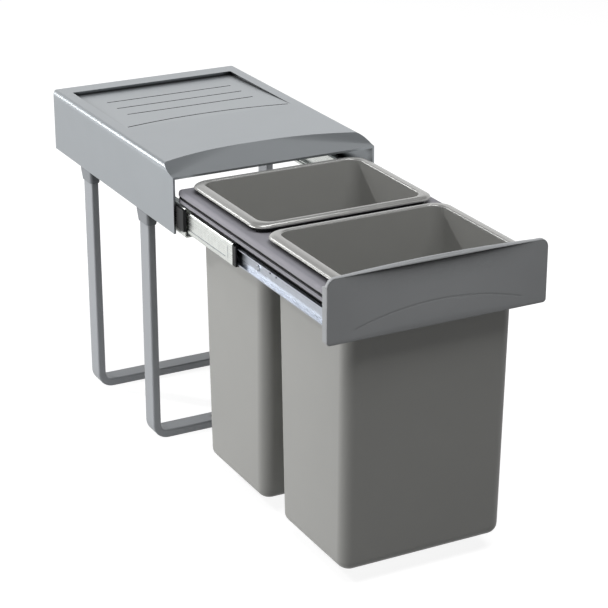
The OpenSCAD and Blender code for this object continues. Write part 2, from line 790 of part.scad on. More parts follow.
// Outline of the front panel in X and Z, drawn in by inset
module panel_outline(inset) {
    w = half_w - inset;
    low = panel_z + inset;
    top = panel_top - inset;
    r = panel_r - inset;
    low_r = panel_low_r - inset;
    translate([-w + low_r, low]) square([2 * (w - low_r), panel_h / 2]);
    translate([-w, low + low_r]) square([2 * w, top - r - low - low_r]);
    translate([-w + r, low + low_r]) square([2 * (w - r), top - low - low_r]);
    for (x = [-1, 1]) {
        translate([x * (w - low_r), low + low_r]) circle(low_r);
        translate([x * (w - r), top - r]) circle(r);
    }
    intersection() {
        translate([0, panel_top]) crown(crown_l, crown_rise, inset);
        translate([-w + r, low + low_r]) square([2 * (w - r), panel_h]);
    }
}

// Scoop in the panel's face: a lens with a straight top, deepest under the panel's top edge
module grip_scoop() {
    tilt = atan(scoop_d / scoop_h);
    intersection() {
        translate([0, panel_front, scoop_top]) rotate([-tilt, 0, 0]) translate([0, 0, -panel_h])
            linear_extrude(2 * panel_h) crown(scoop_l, scoop_d, 0);
        translate([-half_w, panel_front - panel_h, panel_z])
            cube([unit_w, 2 * panel_h, panel_h - grip_lip]);
    }
}

module front_panel() color(PANEL_GREY) {
    difference() {
        along_y(panel_front, panel_rear) panel_outline(0);
        along_y(panel_front + panel_skin, panel_rear + past) panel_outline(panel_wall);
        translate([-half_w - past, panel_front + panel_top_d, panel_top - panel_r])
            cube([unit_w + 2 * past, panel_d, panel_r + crown_rise + past]);
        grip_scoop();
        engraved_arc();
    }
    difference() {
        at_panel_screws() rotate([90, 0, 0]) cylinder(d = boss_d, h = boss_l + fit_gap);
        at_panel_screws() translate([0, past, 0]) rotate([90, 0, 0])
            cylinder(d = pilot_d, h = pilot_l + past);
    }
}

// Arc cut into the panel's face, crowned on the centre line
module engraved_arc() {
    along_y(panel_front - past, panel_front + arc_depth) intersection() {
        translate([0, panel_z + arc_crown - arc_r]) difference() {
            circle(arc_r, $fn = arc_fn);
            circle(arc_r - arc_w, $fn = arc_fn);
        }
        translate([-arc_l / 2, panel_z]) square([arc_l, panel_h]);
    }
}

// Pan-head screw driven from behind through a corner tab of the frame into a boss
module panel_screw() {
    r = screw_d / 2;
    l = flange_t + pilot_l - tip_gap;
    rotate([90, 0, 0]) rotate_extrude() polygon([[0, -head_h], [head_d / 3, -head_h],
        [head_d / 2, -head_h / 3], [head_d / 2, 0], [r, 0], [r, l], [0, l]]);
}
module panel_screws() color(ZINC) at_panel_screws() translate([0, flange_t, 0]) panel_screw();

// Bins: tapered tubs with a down-turned rim that rests on the frame's collar

// Tapered tub with a round foot, drawn in by inset
module tub(inset) {
    top_w = tub_half - inset;
    top_d = tub_half_l - inset;
    low_w = top_w - bin_taper_x;
    low_d = top_d - bin_taper_y;
    r = bin_corner_r - inset;
    foot = bin_foot_r - inset;
    hull() {
        for (x = [-1, 1], y = [-1, 1]) translate([x * (low_w - r), y * (low_d - r), bin_z + foot + inset])
            rotate_extrude($fn = hull_fn) intersection() {
                translate([r - foot, 0]) circle(foot, $fn = hull_fn);
                translate([0, -foot]) square([r, 2 * foot]);
            }
        translate([0, 0, rim_top - past]) linear_extrude(inset > 0 ? 2 * past : past)
            round_rect(2 * top_w, 2 * top_d, r, $fn = hull_fn);
    }
}

// Half section of a rim's corner, with a round top edge
module rim_corner() {
    flat = rim_corner_r - rim_edge_r;
    square([flat, rim_h]);
    square([rim_corner_r, rim_h - rim_edge_r]);
    intersection() {
        translate([flat, rim_h - rim_edge_r]) circle(rim_edge_r, $fn = hull_fn);
        square([rim_corner_r, rim_h]);
    }
}

// Rim as a full form
module rim_form() {
    hull() for (x = [-1, 1], y = [-1, 1])
        translate([x * (rim_half - rim_corner_r), y * (rim_l / 2 - rim_corner_r), rim_top - rim_h])
            rotate_extrude($fn = hull_fn) rim_corner();
}

module bin(i) color(BIN_GREY) translate([0, bin_y(i), 0]) difference() {
    union() {
        tub(0);
        difference() {
            rim_form();
            translate([0, 0, rim_top - rim_h - past]) linear_extrude(rim_h - bin_t + past)
                round_rect(2 * (rim_half - bin_t), rim_l - 2 * bin_t, rim_corner_r - bin_t);
        }
    }
    tub(bin_t);
}

module front_bin() bin(0);
module rear_bin() bin(1);

cover();
front_leg();
rear_leg();
front_left_bracket();
front_right_bracket();
rear_left_bracket();
rear_right_bracket();
left_outer_rail();
right_outer_rail();
left_bumper();
right_bumper();
bracket_rivets();
left_outer_cage();
right_outer_cage();
left_outer_balls();
right_outer_balls();
left_middle_rail();
right_middle_rail();
left_middle_stop();
right_middle_stop();
left_inner_cage();
right_inner_cage();
left_inner_balls();
right_inner_balls();
left_inner_rail();
right_inner_rail();
inner_rail_rivets();
bin_frame();
front_panel();
panel_screws();
front_bin();
rear_bin();
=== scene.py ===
"""Dresses the pull-out bin frame: moulded plastics, coated legs, zinc-plated slides and a plain studio."""
import logging
import math
from dataclasses import dataclass
from enum import Enum
from typing import Any, Callable, Iterable, Optional, Union

import bmesh
import bpy
from mathutils import Matrix, Vector


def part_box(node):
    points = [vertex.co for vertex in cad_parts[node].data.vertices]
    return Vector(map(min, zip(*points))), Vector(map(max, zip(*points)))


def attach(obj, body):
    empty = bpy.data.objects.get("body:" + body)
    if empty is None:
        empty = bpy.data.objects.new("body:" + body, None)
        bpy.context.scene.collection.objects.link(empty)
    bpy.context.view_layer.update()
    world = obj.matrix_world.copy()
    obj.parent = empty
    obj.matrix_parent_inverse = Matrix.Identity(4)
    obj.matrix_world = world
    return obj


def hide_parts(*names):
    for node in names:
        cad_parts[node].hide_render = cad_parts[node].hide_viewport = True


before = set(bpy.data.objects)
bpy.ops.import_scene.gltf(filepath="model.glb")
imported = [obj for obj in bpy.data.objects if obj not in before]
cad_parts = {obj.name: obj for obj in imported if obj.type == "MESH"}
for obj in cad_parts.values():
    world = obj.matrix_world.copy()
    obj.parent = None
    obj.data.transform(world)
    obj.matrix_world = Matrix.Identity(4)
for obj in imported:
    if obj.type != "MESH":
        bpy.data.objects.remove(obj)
LOG = logging.getLogger("bin_frame")
MM = 0.001
# Vertices closer than this are one vertex
MERGE = 0.002 * MM
# Faces closer than this to a plane lie in it
FLUSH = 0.05 * MM
# Faces further than this from a level lie clearly above or below it
CLEAR = 0.2 * MM
# A face with this much of its normal along an axis faces that way
FACING = 0.9
WHITE = (1.0, 1.0, 1.0, 1.0)
# A row of the front panel: height and depth from x, lower edge and upper edge
RowLine = Callable[[float, float, float], tuple[float, float]]
# A ring of a bin: height, half width, half length and corner radius
Ring = tuple[float, float, float, float]


class Body(Enum):
    """Bodies of the unit that new pieces ride on."""

    FIXED = "fixed_frame"
    MIDDLE = "middle_rails"
    DRAWER = "drawer"
    FRONT_BIN = "front_bin"
    REAR_BIN = "rear_bin"


def linear(colour: str) -> tuple[float, float, float, float]:
    """Turns an sRGB hex colour into linear RGBA.

    Args:
        colour: Colour such as "#a0a4a8".

    Returns:
        Red, green, blue and alpha, as shaders take them.
    """
    channels = [int(colour[i:i + 2], 16) / 255 for i in (1, 3, 5)]
    red, green, blue = [c / 12.92 if c <= 0.04045 else ((c + 0.055) / 1.055) ** 2.4 for c in channels]
    return red, green, blue, 1.0


def shade(colour: tuple[float, ...], change: float) -> tuple[float, float, float, float]:
    """Makes a linear colour lighter or darker.

    Args:
        colour: Linear RGBA.
        change: Share by which it changes, such as -0.1.

    Returns:
        The changed linear RGBA.
    """
    red, green, blue = [min(c * (1 + change), 1.0) for c in colour[:3]]
    return red, green, blue, 1.0


def add_node(
    tree: bpy.types.NodeTree,
    kind: str,
    settings: Optional[dict[Union[str, int], Any]] = None,
    links: Optional[dict[Union[str, int], bpy.types.NodeSocket]] = None,
) -> bpy.types.Node:
    """Adds a node with its settings and links.

    Args:
        tree: Node tree that gets the node.
        kind: Node type, such as "ShaderNodeBump".
        settings: Values of inputs by name or number, and of the node's own properties by name.
        links: Outputs of other nodes by the input that they feed.

    Returns:
        The new node.
    """
    node = tree.nodes.new(kind)
    for key, value in (settings or {}).items():
        if isinstance(key, int) or key in node.inputs:
            node.inputs[key].default_value = value
        else:
            setattr(node, key, value)
    for key, output in (links or {}).items():
        tree.links.new(output, node.inputs[key])
    return node


def new_material(name: str) -> tuple[bpy.types.Material, bpy.types.Node, bpy.types.NodeSocket]:
    """Makes a material with a Principled shader.

    Args:
        name: Name of the real substance.

    Returns:
        The material, its shader, and the Object coordinates that its patterns read.
    """
    made = bpy.data.materials.new(name)
    made.use_nodes = True
    tree = made.node_tree
    place = add_node(tree, "ShaderNodeTexCoord").outputs["Object"]
    return made, tree.nodes["Principled BSDF"], place


def feed_shader(
    made: bpy.types.Material,
    shader: bpy.types.Node,
    colour: bpy.types.NodeSocket,
    roughness: bpy.types.NodeSocket,
    normal: bpy.types.NodeSocket,
) -> bpy.types.Material:
    """Links the three patterns that every finish has to its shader.

    Args:
        made: Material that holds the nodes.
        shader: Its Principled shader.
        colour: Output for the base colour.
        roughness: Output for the roughness.
        normal: Output for the normal.

    Returns:
        The finished material.
    """
    for key, output in (("Base Color", colour), ("Roughness", roughness), ("Normal", normal)):
        made.node_tree.links.new(output, shader.inputs[key])
    return made


@dataclass(frozen=True)
class MouldedPlastic:
    """Injection-moulded plastic: an even colour with faint flow mottling and a spark-eroded grain.

    The true grain is about 0.2 mm, too fine to show, so it is drawn as coarse as grain_mm. Shade is painted
    into corners: the colour is darker by up to the share corner within corner_mm of them, and by all
    of it where no more than the share corner_open of the surroundings is open.
    """

    name: str
    colour: str
    roughness: float
    metallic: float = 0.0
    ior: float = 1.49
    specular: float = 0.5
    grain_mm: float = 1.1
    grain_depth_mm: float = 0.012
    mottle_mm: float = 45.0
    mottle: float = 0.05
    gloss_change: float = 0.05
    corner_mm: float = 5.0
    corner: float = 0.3
    corner_open: float = 0.55
    corner_samples: int = 16

    def material(self) -> bpy.types.Material:
        """Builds the material.

        Returns:
            The finished material.
        """
        made, shader, place = new_material(self.name)
        tree = made.node_tree
        colour = linear(self.colour)
        flow = add_node(tree, "ShaderNodeTexNoise", {"Scale": 1 / (self.mottle_mm * MM), "Detail": 3.0},
                        {"Vector": place})
        grain = add_node(tree, "ShaderNodeTexNoise", {"Scale": 1 / (self.grain_mm * MM), "Detail": 2.0},
                         {"Vector": place})
        tone = add_node(tree, "ShaderNodeMix", {"data_type": "RGBA", 6: shade(colour, -self.mottle),
                                                7: shade(colour, self.mottle)},
                        {0: flow.outputs["Fac"]})
        # Painted shade: ambient occlusion darkens the colour in corners and recesses
        nook = add_node(tree, "ShaderNodeAmbientOcclusion", {"Distance": self.corner_mm * MM,
                                                             "samples": self.corner_samples})
        clear = add_node(tree, "ShaderNodeMapRange", {"From Min": self.corner_open, "From Max": 1.0},
                         {"Value": nook.outputs["AO"]})
        painted_corner_shade = add_node(tree, "ShaderNodeMix", {"data_type": "RGBA", 6: shade(colour, -self.corner)},
                        {0: clear.outputs["Result"], 7: tone.outputs[2]})
        gloss = add_node(tree, "ShaderNodeMapRange", {"To Min": self.roughness - self.gloss_change,
                                                      "To Max": self.roughness + self.gloss_change},
                         {"Value": grain.outputs["Fac"]})
        bump = add_node(tree, "ShaderNodeBump", {"Distance": self.grain_depth_mm * MM},
                        {"Height": grain.outputs["Fac"]})
        shader.inputs["Metallic"].default_value = self.metallic
        shader.inputs["IOR"].default_value = self.ior
        shader.inputs["Specular IOR Level"].default_value = self.specular
        return feed_shader(made, shader, painted_corner_shade.outputs[2], gloss.outputs["Result"], bump.outputs["Normal"])


@dataclass(frozen=True)
class PowderCoat:
    """Silver powder coat on steel tube: a satin film with orange peel and a few darker specks."""

    name: str
    colour: str
    roughness: float
    metallic: float
    peel_mm: float = 2.2
    peel_depth_mm: float = 0.02
    speck_mm: float = 1.4
    speck_dark: float = 0.1
    speck_light: float = 0.06
    gloss_change: float = 0.06

    def material(self) -> bpy.types.Material:
        """Builds the material.

        Returns:
            The finished material.
        """
        made, shader, place = new_material(self.name)
        tree = made.node_tree
        colour = linear(self.colour)
        peel = add_node(tree, "ShaderNodeTexNoise", {"Scale": 1 / (self.peel_mm * MM), "Detail": 1.0},
                        {"Vector": place})
        specks = add_node(tree, "ShaderNodeTexNoise", {"Scale": 1 / (self.speck_mm * MM), "Detail": 4.0},
                          {"Vector": place})
        tone = add_node(tree, "ShaderNodeMix", {"data_type": "RGBA", 6: shade(colour, -self.speck_dark),
                                                7: shade(colour, self.speck_light)},
                        {0: specks.outputs["Fac"]})
        gloss = add_node(tree, "ShaderNodeMapRange", {"To Min": self.roughness - self.gloss_change,
                                                      "To Max": self.roughness + self.gloss_change},
                         {"Value": peel.outputs["Fac"]})
        bump = add_node(tree, "ShaderNodeBump", {"Distance": self.peel_depth_mm * MM},
                        {"Height": peel.outputs["Fac"]})
        shader.inputs["Metallic"].default_value = self.metallic
        return feed_shader(made, shader, tone.outputs[2], gloss.outputs["Result"], bump.outputs["Normal"])


@dataclass(frozen=True)
class PlatedSteel:
    """Zinc-plated cold-rolled steel: bright, with fine roll streaks along the rail and a faint bloom.

    True roll streaks are finer than 0.1 mm, too fine to show, so they are drawn as coarse as streak_mm.
    """

    name: str
    colour: str
    roughness: float
    streak_mm: float = 0.9
    streak_l_mm: float = 60.0
    streak_depth_mm: float = 0.002
    streak_strength: float = 0.15
    bloom_mm: float = 9.0
    bloom_dark: float = 0.08
    bloom_light: float = 0.05
    gloss_change: float = 0.08

    def material(self) -> bpy.types.Material:
        """Builds the material.

        Returns:
            The finished material.
        """
        made, shader, place = new_material(self.name)
        tree = made.node_tree
        colour = linear(self.colour)
        across = 1 / (self.streak_mm * MM)
        drawn = add_node(tree, "ShaderNodeMapping", {"Scale": (across, 1 / (self.streak_l_mm * MM), across)},
                         {"Vector": place})
        streaks = add_node(tree, "ShaderNodeTexNoise", {"Scale": 1.0, "Detail": 3.0},
                           {"Vector": drawn.outputs["Vector"]})
        bloom = add_node(tree, "ShaderNodeTexVoronoi", {"Scale": 1 / (self.bloom_mm * MM)}, {"Vector": place})
        tone = add_node(tree, "ShaderNodeMix", {"data_type": "RGBA", 6: shade(colour, -self.bloom_dark),
                                                7: shade(colour, self.bloom_light)},
                        {0: bloom.outputs["Distance"]})
        gloss = add_node(tree, "ShaderNodeMapRange", {"To Min": self.roughness - self.gloss_change,
                                                      "To Max": self.roughness + self.gloss_change},
                         {"Value": streaks.outputs["Fac"]})
        bump = add_node(tree, "ShaderNodeBump", {"Strength": self.streak_strength,
                                                 "Distance": self.streak_depth_mm * MM},
                        {"Height": streaks.outputs["Fac"]})
        shader.inputs["Metallic"].default_value = 1.0
        return feed_shader(made, shader, tone.outputs[2], gloss.outputs["Result"], bump.outputs["Normal"])


# Silver-grey ABS with an aluminium pigment: the top mirrors the bright background, the tilted visor goes dark
# Its colour darkens strongly within 12 mm of corners: painted shade along the step and the grooves
COVER_ABS = MouldedPlastic("silver_grey_abs", "#a7acb0", 0.29, metallic=0.72, grain_depth_mm=0.0005,
                           mottle=0.03, gloss_change=0.01, corner_mm=12.0, corner=0.95)
# Brackets are moulded with less pigment. Their grey is darker than the cover's and darkens strongly within 30
# mm of corners: painted shade under the cover's skirt
BRACKET_ABS = MouldedPlastic("slate_grey_abs", "#83868a", 0.45, metallic=0.2, corner_mm=30.0, corner=0.97)
# The panel's ABS has no pigment: a plain satin grey. Its colour darkens strongly under the lip: painted shade
PANEL_ABS = MouldedPlastic("mid_grey_abs", "#a2a4a6", 0.45, specular=0.25, corner_mm=24.0, corner=0.97,
                           corner_open=0.88)
# The frame's ABS is a shade darker and duller
FRAME_ABS = MouldedPlastic("dark_grey_abs", "#848389", 0.5, specular=0.35)
# Collars, flanges and the floors of the frame's line grooves get a black, matt finish: painted shade in these
# recesses
RECESS_PAINTED_SHADE = MouldedPlastic("black_painted_recess_shade", "#121214", 0.6, specular=0.15)
# Warm grey polypropylene: waxy, without any metal in it
BIN_PP = MouldedPlastic("warm_grey_polypropylene", "#9a9a97", 0.4, mottle_mm=70.0, mottle=0.04)
# The rims are polished in the mould. Their grey is lighter than the tub's and has a metallic share, which
# makes their bright lines strong: painted highlight
RIM_PP = MouldedPlastic("polished_polypropylene_rim", "#a8a8a6", 0.24, metallic=0.42, grain_depth_mm=0.0005,
                        mottle_mm=70.0, mottle=0.04)
# Black acetal of the slides' stops and bumpers: smooth, with a weak sheen
STOP_POM = MouldedPlastic("black_acetal", "#131416", 0.45, specular=0.25, mottle_mm=12.0, mottle=0.2)
# Baked silver powder: satin, with a slight sparkle of metal
LEG_COAT = PowderCoat("silver_powder_coat", "#9fa2a6", 0.38, 0.25)
# Bright zinc of the rails: nearly white under a white sky
RAIL_ZINC = PlatedSteel("zinc_plated_steel", "#eef1ed", 0.28)
# The inner rails come from a bluer bath
INNER_ZINC = PlatedSteel("blue_passivated_zinc", "#bcc1c9", 0.3)
# Cages are pressed from thinner strip and stay duller
CAGE_ZINC = PlatedSteel("zinc_plated_strip", "#a9adb1", 0.36)
# Balls are hardened and polished: small, sharp highlights
BALL_STEEL = PlatedSteel("polished_ball_steel", "#e0e2e4", 0.14, streak_mm=0.6, streak_l_mm=0.6)


def finish_piece(
    shape: bmesh.types.BMesh,
    name: str,
    body: Body,
    materials: Iterable[bpy.types.Material],
    node: str,
    crease: float = 35.0,
) -> bpy.types.Object:
    """Turns a mesh into a piece that stands for a CAD node and rides on a body.

    Args:
        shape: Finished mesh in metres, in the unit's frame. It is freed.
        name: Name of the piece.
        body: Body that the piece moves with.
        materials: Finishes of the piece, as its faces number them.
        node: CAD node that the piece stands for.
        crease: Angle in degrees from which an edge stays sharp.

    Returns:
        The new piece.
    """
    for face in shape.faces:
        face.smooth = True
    for edge in shape.edges:
        if len(edge.link_faces) == 2:
            edge.smooth = edge.calc_face_angle(0.0) < math.radians(crease)
    mesh = bpy.data.meshes.new(name)
    shape.to_mesh(mesh)
    shape.free()
    for material in materials:
        mesh.materials.append(material)
    piece = bpy.data.objects.new(name, mesh)
    bpy.context.scene.collection.objects.link(piece)
    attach(piece, body.value)
    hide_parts(node)
    LOG.info("%s: %d faces, rides on %s", name, len(mesh.polygons), body.value)
    return piece


def extrude_border(
    shape: bmesh.types.BMesh, edges: list[bmesh.types.BMEdge]
) -> tuple[list[bmesh.types.BMVert], list[bmesh.types.BMEdge]]:
    """Extrudes a border without moving it.

    Args:
        shape: Mesh that has the border.
        edges: Edges of the border.

    Returns:
        The new border's vertices and edges.
    """
    grown = bmesh.ops.extrude_edge_only(shape, edges=edges)["geom"]
    verts = [g for g in grown if isinstance(g, bmesh.types.BMVert)]
    fresh = set(verts)
    border = [g for g in grown if isinstance(g, bmesh.types.BMEdge) and set(g.verts) <= fresh]
    return verts, border


@dataclass
class SoftenedNode:
    """A CAD node copied with rounded edges, as a mould or a tumbling drum leaves them."""

    node: str
    body: Body
    slot: str
    radius_mm: float
    segments: int = 3
    sharp: float = 35.0
    flat: float = 0.8

    def build(self, *materials: bpy.types.Material) -> bpy.types.Object:
        """Copies the node, merges its triangles, rounds its edges and adds its details.

        Args:
            materials: Finish of the piece, and of its details if they have their own.

        Returns:
            The new piece.
        """
        shape = bmesh.new()
        shape.from_mesh(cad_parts[self.node].data)
        bmesh.ops.remove_doubles(shape, verts=shape.verts, dist=MERGE)
        bmesh.ops.dissolve_limit(shape, angle_limit=math.radians(self.flat), verts=shape.verts,
                                 edges=shape.edges)
        edges = [e for e in shape.edges if e.calc_face_angle(0.0) > math.radians(self.sharp)]
        bmesh.ops.bevel(shape, geom=edges, offset=self.radius_mm * MM, offset_type="OFFSET",
                        segments=self.segments, profile=0.5, affect="EDGES", clamp_overlap=True, material=-1)
        self.add_details(shape)
        piece = finish_piece(shape, f"{self.node}_softened", self.body, materials, self.node)
        hard = piece.modifiers.new("flat faces stay flat", "WEIGHTED_NORMAL")
        hard.keep_sharp = True
        return piece

    def add_details(self, shape: bmesh.types.BMesh) -> None:
        """Changes the rounded mesh where a piece has details; a plain one has none."""


@dataclass
class BinFrame(SoftenedNode):
    """The frame that the bins hang in, with shade painted black on its collars, flanges and lines along its
    sides.
    """

    collar_mm: float = 8.0
    slab_mm: float = 13.5
    line_d_mm: float = 2.0

    def add_details(self, shape: bmesh.types.BMesh) -> None:
        """Gives the collars, the flanges and the floors of the line grooves the second finish, black painted
        shade.

        Args:
            shape: The frame's mesh.
        """
        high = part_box(self.node)[1]
        deck = high.z - self.collar_mm * MM
        below = deck - self.slab_mm * MM
        side = high.x - self.line_d_mm * MM
        for face in shape.faces:
            centre = face.calc_center_median()
            groove = abs(abs(centre.x) - side) < CLEAR and abs(face.normal.x) > FACING
            # Painted shade: faces in the recesses take the black finish
            face.material_index = int(centre.z > deck + CLEAR or centre.z < below - CLEAR or groove)


@dataclass
class PressedRail(SoftenedNode):
    """A middle rail with a line rolled along its web and another pressed across its front end, both in a
    darker zinc as painted shade.
    """

    line_down_mm: float = 20.0
    line_w_mm: float = 1.1
    line_d_mm: float = 0.5
    end_in_mm: float = 11.0
    margin_mm: float = 6.0

    def add_details(self, shape: bmesh.types.BMesh) -> None:
        """Cuts the web at the lines' borders, presses the strips between them in and paints shade on them
        with the darker second finish.

        Args:
            shape: The rail's mesh.
        """
        low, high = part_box(self.node)
        outer = low.x if high.x < 0 else high.x
        half, depth, margin = self.line_w_mm * MM / 2, self.line_d_mm * MM, self.margin_mm * MM
        level, cross = high.z - self.line_down_mm * MM, low.y + self.end_in_mm * MM
        along, upward = Vector((0.0, 1.0, 0.0)), Vector((0.0, 0.0, 1.0))
        cuts = [(upward, level - half), (upward, level + half), (along, cross - half), (along, cross + half),
                (along, cross + margin), (along, high.y - margin),
                (upward, low.z + margin), (upward, high.z - margin)]
        for way, place in cuts:
            bmesh.ops.bisect_plane(shape, geom=[*shape.verts, *shape.edges, *shape.faces], dist=MERGE / 2,
                                   plane_co=way * place, plane_no=way)
        long_strip, short_strip = [], []
        for face in shape.faces:
            middle = face.calc_center_median()
            if abs(middle.x - outer) >= FLUSH:
                continue
            if abs(middle.z - level) < half and cross + margin < middle.y < high.y - margin:
                long_strip.append(face)
            if abs(middle.y - cross) < half and low.z + margin < middle.z < high.z - margin:
                short_strip.append(face)
        for strip in (long_strip, short_strip):
            walls = bmesh.ops.inset_region(shape, faces=strip, thickness=half / 3, depth=-depth,
                                           use_even_offset=True)["faces"]
            # Painted shade: the pressed strips take the duller, darker zinc
            for face in (*strip, *walls):
                face.material_index = 1


@dataclass
class DressedNodes:
    """CAD nodes that keep their own mesh and get a better finish."""

    nodes: tuple[str, ...]

    def dress(self, material: bpy.types.Material) -> None:
        """Puts the finish on every node.

        Args:
            material: Finish of the nodes.
        """
        for name in self.nodes:
            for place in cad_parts[name].material_slots:
                place.material = material
            LOG.info("%s: dressed in %s", name, material.name)


@dataclass
class BinTub:
    """A lift-out bin: a tapered tub with a round foot and a rolled, down-turned rim."""

    node: str
    body: Body
    wall_mm: float = 2.0
    rim_h_mm: float = 5.0
    rim_over_x_mm: float = 10.0
    rim_over_y_mm: float = 6.5
    rim_corner_mm: float = 18.0
    bead_mm: float = 4.0
    corner_mm: float = 15.0
    foot_mm: float = 12.0
    taper_x_mm: float = 2.2
    taper_y_mm: float = 6.5
    segments: int = 96
    arc_steps: int = 6

    def __post_init__(self) -> None:
        """Takes the bin's place from its CAD node."""
        self.low, self.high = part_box(self.node)
        self.middle = (self.low + self.high) / 2

    def arc(self) -> list[tuple[float, float]]:
        """Sine and cosine over a quarter turn, in arc_steps steps."""
        turns = [math.pi / 2 * i / self.arc_steps for i in range(self.arc_steps + 1)]
        return [(math.sin(t), math.cos(t)) for t in turns]

    def rings(self) -> list[Ring]:
        """Works out the rings of the skin, from the foot's underside, over the rim, to the inner floor.

        Returns:
            The rings in order, in metres.
        """
        low, high = self.low, self.high
        rim_x, rim_y = (high.x - low.x) / 2, (high.y - low.y) / 2
        wall, foot, bead = self.wall_mm * MM, self.foot_mm * MM, self.bead_mm * MM
        tub_x, tub_y = rim_x - self.rim_over_x_mm * MM, rim_y - self.rim_over_y_mm * MM
        foot_x, foot_y = tub_x - self.taper_x_mm * MM, tub_y - self.taper_y_mm * MM
        corner, rim_corner = self.corner_mm * MM, self.rim_corner_mm * MM
        lip, under, inner = high.z - self.rim_h_mm * MM, high.z - wall, foot - wall
        fine = wall / 4
        # Round foot and outer wall
        rings = [(low.z + foot * (1 - c), foot_x - foot * (1 - s), foot_y - foot * (1 - s),
                  corner - foot * (1 - s)) for s, c in self.arc()]
        rings += [(under - fine, tub_x, tub_y, corner), (under, tub_x + fine, tub_y + fine, corner + fine)]
        # Underside of the rim and its down-turned edge
        rings += [(under, rim_x - wall, rim_y - wall, rim_corner - wall),
                  (lip + fine, rim_x - wall, rim_y - wall, rim_corner - wall),
                  (lip, rim_x - wall + fine, rim_y - wall + fine, rim_corner - wall + fine),
                  (lip, rim_x - fine, rim_y - fine, rim_corner - fine),
                  (lip + fine, rim_x, rim_y, rim_corner)]
        # Rolled top of the rim, then its turn into the tub
        bead_x, bead_y = rim_x - tub_x - wall, rim_y - tub_y - wall
        rings += [(high.z - bead * (1 - s), rim_x - bead_x * (1 - c), rim_y - bead_y * (1 - c),
                   rim_corner + (corner + wall - rim_corner) * (1 - c)) for s, c in self.arc()]
        rings += [(high.z - wall * (1 - c), tub_x - wall * s, tub_y - wall * s, corner + wall * (1 - s))
                  for s, c in self.arc()]
        # Inner wall and inner floor
        floor = low.z + wall
        rings += [(floor + inner * (1 - s), foot_x - wall - inner * (1 - c), foot_y - wall - inner * (1 - c),
                   corner - wall - inner * (1 - c)) for s, c in self.arc()]
        return rings

    def settle(self, shape: bmesh.types.BMesh, verts: Iterable[bmesh.types.BMVert], ring: Ring) -> None:
        """Moves vertices onto a ring by their turn.

        Args:
            shape: Mesh that holds the turns.
            verts: Vertices that move.
            ring: Ring that they go to.
        """
        turn = shape.verts.layers.float["turn"]
        height, half_x, half_y, corner = ring
        for vert in verts:
            c, s = math.cos(vert[turn]), math.sin(vert[turn])
            x = corner * c + math.copysign(half_x - corner, c)
            y = corner * s + math.copysign(half_y - corner, s)
            vert.co = (self.middle.x + x, self.middle.y + y, height)

    def build(self, tub: bpy.types.Material, rim: bpy.types.Material) -> bpy.types.Object:
        """Draws one ring and extrudes it through all the others.

        Args:
            tub: Finish of the tub.
            rim: Finish of the rim.

        Returns:
            The new piece.
        """
        shape = bmesh.new()
        turn = shape.verts.layers.float.new("turn")
        bmesh.ops.create_circle(shape, segments=self.segments, radius=1.0,
                                matrix=Matrix.Rotation(math.pi / self.segments, 4, "Z"))
        for vert in shape.verts:
            vert[turn] = math.atan2(vert.co.y, vert.co.x)
        first, *others = self.rings()
        self.settle(shape, shape.verts, first)
        edges = list(shape.edges)
        bmesh.ops.edgeloop_fill(shape, edges=edges)
        for ring in others:
            verts, edges = extrude_border(shape, edges)
            self.settle(shape, verts, ring)
        bmesh.ops.edgeloop_fill(shape, edges=edges)
        bmesh.ops.recalc_face_normals(shape, faces=shape.faces)
        lip = self.high.z - self.rim_h_mm * MM
        for face in shape.faces:
            face.material_index = int(face.calc_center_median().z > lip)
        return finish_piece(shape, f"{self.node}_tub", self.body, [tub, rim], self.node)


